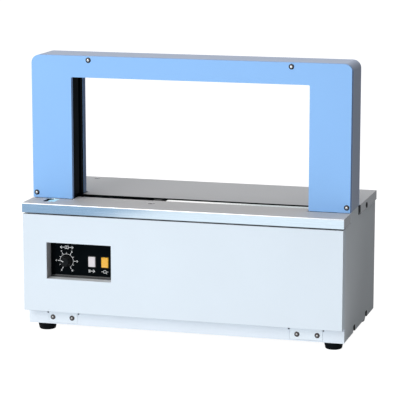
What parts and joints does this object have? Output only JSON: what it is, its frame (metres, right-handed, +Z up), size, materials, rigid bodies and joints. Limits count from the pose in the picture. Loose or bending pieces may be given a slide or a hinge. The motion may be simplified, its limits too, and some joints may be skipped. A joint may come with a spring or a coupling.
{
  "type": "bench-top tape banding machine",
  "caption": "Bench-top banding machine: sheet-metal cabinet, steel table, rectangular tape arch with flaps, recessed control panel, and a cam-driven sealing head and tape feed inside.",
  "frame": {"origin": "on the floor under the centre of the cabinet", "axes": "+Z up, +X to the operator's right along the arch, -Y towards the operator"},
  "size_m": [0.487, 0.248, 0.4135],
  "materials": {
    "white_paint": "white powder coat, satin",
    "blue_paint": "light blue powder coat, satin",
    "grey_paint": "blue-grey powder coat, satin",
    "stainless": "fine brushed stainless sheet",
    "polished_steel": "polished",
    "steel": "zinc-plated or machined steel",
    "zinc": "bright plated fasteners",
    "black_plastic": "black moulding",
    "panel_black": "glossy black overlay with a dial scale and icons",
    "rubber": "black rubber",
    "white_lens": "white button cap",
    "orange_lens": "orange button cap",
    "brass": "heater block",
    "board_green": "circuit board laminate with components",
    "motor_grey": "grey motor housing"
  },
  "bodies": {
    "cabinet": {"base_tray": "white_paint", "front_cover": "white_paint", "side_panel_left": "white_paint", "side_panel_right": "white_paint", "rear_panel": "white_paint", "arch_front_cover": "blue_paint", "arch_rear_cover": "blue_paint", "arch_rim": "grey_paint", "front_table": "stainless", "rear_table": "stainless", "slide_strip": "polished_steel", "head_frame": "steel", "feed_bracket": "steel", "power_supply": "steel", "cover_screw_1": "zinc", "cover_screw_2": "zinc", "cover_screw_3": "zinc", "cover_screw_4": "zinc", "arch_screw_1": "zinc", "arch_screw_2": "zinc", "arch_screw_3": "zinc", "arch_screw_4": "zinc", "table_screw_front": "zinc", "table_screw_rear_left": "zinc", "table_screw_rear_right": "zinc", "guide_left": "black_plastic", "guide_top": "black_plastic", "guide_right": "black_plastic", "lower_guide": "black_plastic", "power_inlet": "black_plastic", "fan_housing": "black_plastic", "flange_screw_left": "black_plastic", "flange_screw_right": "black_plastic", "panel_face": "panel_black", "foot_front_left": "rubber", "foot_front_right": "rubber", "foot_rear_left": "rubber", "foot_rear_right": "rubber", "switch_board": "board_green", "control_board": "board_green", "cam_motor": "motor_grey", "feed_motor": "motor_grey"},
    "tension_knob": {"tension_knob": "black_plastic"},
    "feed_button": {"feed_button": "white_lens"},
    "reset_button": {"reset_button": "orange_lens"},
    "power_rocker": {"power_switch": "black_plastic"},
    "left_tape_flap": {"flap_left": "black_plastic"},
    "top_tape_flap": {"flap_top": "black_plastic"},
    "right_tape_flap": {"flap_right": "black_plastic"},
    "fan_rotor": {"fan_rotor": "black_plastic"},
    "cam_shaft": {"cam_shaft": "steel"},
    "left_gripper": {"gripper_left": "steel"},
    "right_gripper": {"gripper_right": "steel"},
    "cutter": {"cutter_blade": "steel"},
    "heater_press": {"heater_press": "brass"},
    "anvil_slide": {"anvil_plate": "polished_steel"},
    "anvil_lever": {"anvil_lever": "steel"},
    "feed_roller": {"feed_roller": "rubber"},
    "pinch_roller": {"pinch_roller": "steel"},
    "pinch_arm": {"pinch_arm": "steel"}
  },
  "joints": [
    {"name": "tension_knob_turn", "type": "hinge", "parent": "cabinet", "child": "tension_knob", "pos_m": [-0.1802, -0.104, 0.1107], "axis": [0, 1, 0], "range_deg": [-85, 215]},
    {"name": "feed_button_press", "type": "slide", "parent": "cabinet", "child": "feed_button", "axis": [0, 1, 0], "range_m": [0, 0.0025]},
    {"name": "reset_button_press", "type": "slide", "parent": "cabinet", "child": "reset_button", "axis": [0, 1, 0], "range_m": [0, 0.0025]},
    {"name": "power_rocker_tilt", "type": "hinge", "parent": "cabinet", "child": "power_rocker", "pos_m": [0.19, 0.117, 0.086], "axis": [1, 0, 0], "range_deg": [-16, 0]},
    {"name": "left_flap_open", "type": "hinge", "parent": "cabinet", "child": "left_tape_flap", "pos_m": [-0.1813, -0.0656, 0.291], "axis": [0, 0, -1], "range_deg": [0, 35]},
    {"name": "top_flap_open", "type": "hinge", "parent": "cabinet", "child": "top_tape_flap", "pos_m": [0, -0.0656, 0.383], "axis": [-1, 0, 0], "range_deg": [0, 35]},
    {"name": "right_flap_open", "type": "hinge", "parent": "cabinet", "child": "right_tape_flap", "pos_m": [0.1813, -0.0656, 0.291], "axis": [0, 0, 1], "range_deg": [0, 35]},
    {"name": "fan_spin", "type": "hinge", "parent": "cabinet", "child": "fan_rotor", "pos_m": [-0.15, 0.114, 0.11], "axis": [0, 1, 0], "continuous": true},
    {"name": "cam_turn", "type": "hinge", "parent": "cabinet", "child": "cam_shaft", "pos_m": [0, -0.044, 0.11], "axis": [1, 0, 0], "range_deg": [0, 150]},
    {"name": "left_grip_rise", "type": "slide", "parent": "cabinet", "child": "left_gripper", "axis": [0, 0, 1], "range_m": [0, 0.0061]},
    {"name": "heater_rise", "type": "slide", "parent": "cabinet", "child": "heater_press", "axis": [0, 0, 1], "range_m": [0, 0.0071]},
    {"name": "cutter_rise", "type": "slide", "parent": "cabinet", "child": "cutter", "axis": [0, 0, 1], "range_m": [0, 0.0076]},
    {"name": "right_grip_rise", "type": "slide", "parent": "cabinet", "child": "right_gripper", "axis": [0, 0, 1], "range_m": [0, 0.0061]},
    {"name": "anvil_lever_swing", "type": "hinge", "parent": "cabinet", "child": "anvil_lever", "pos_m": [-0.105, -0.014, 0.084], "axis": [-1, 0, 0], "range_deg": [0, 10]},
    {"name": "anvil_retract", "type": "slide", "parent": "cabinet", "child": "anvil_slide", "axis": [0, 1, 0], "range_m": [0, 0.0187]},
    {"name": "feed_roller_spin", "type": "hinge", "parent": "cabinet", "child": "feed_roller", "pos_m": [-0.15, -0.044, 0.148], "axis": [0, 1, 0], "continuous": true},
    {"name": "pinch_arm_swing", "type": "hinge", "parent": "cabinet", "child": "pinch_arm", "pos_m": [-0.178, -0.03, 0.1734], "axis": [0, -1, 0], "range_deg": [0, 8]},
    {"name": "pinch_roller_spin", "type": "hinge", "parent": "pinch_arm", "child": "pinch_roller", "pos_m": [-0.15, -0.044, 0.1734], "axis": [0, 1, 0], "continuous": true}
  ],
  "couplings": [
    {"joint": "left_grip_rise", "follows": "cam_turn", "m_per_rad": 0.0022918},
    {"joint": "heater_rise", "follows": "cam_turn", "m_per_rad": 0.0026738},
    {"joint": "cutter_rise", "follows": "cam_turn", "m_per_rad": 0.0028648},
    {"joint": "right_grip_rise", "follows": "cam_turn", "m_per_rad": 0.0022918},
    {"joint": "anvil_lever_swing", "follows": "cam_turn", "ratio": 0.066119},
    {"joint": "anvil_retract", "follows": "cam_turn", "m_per_rad": 0.0070748},
    {"joint": "pinch_roller_spin", "follows": "feed_roller_spin", "ratio": -1.5}
  ]
}
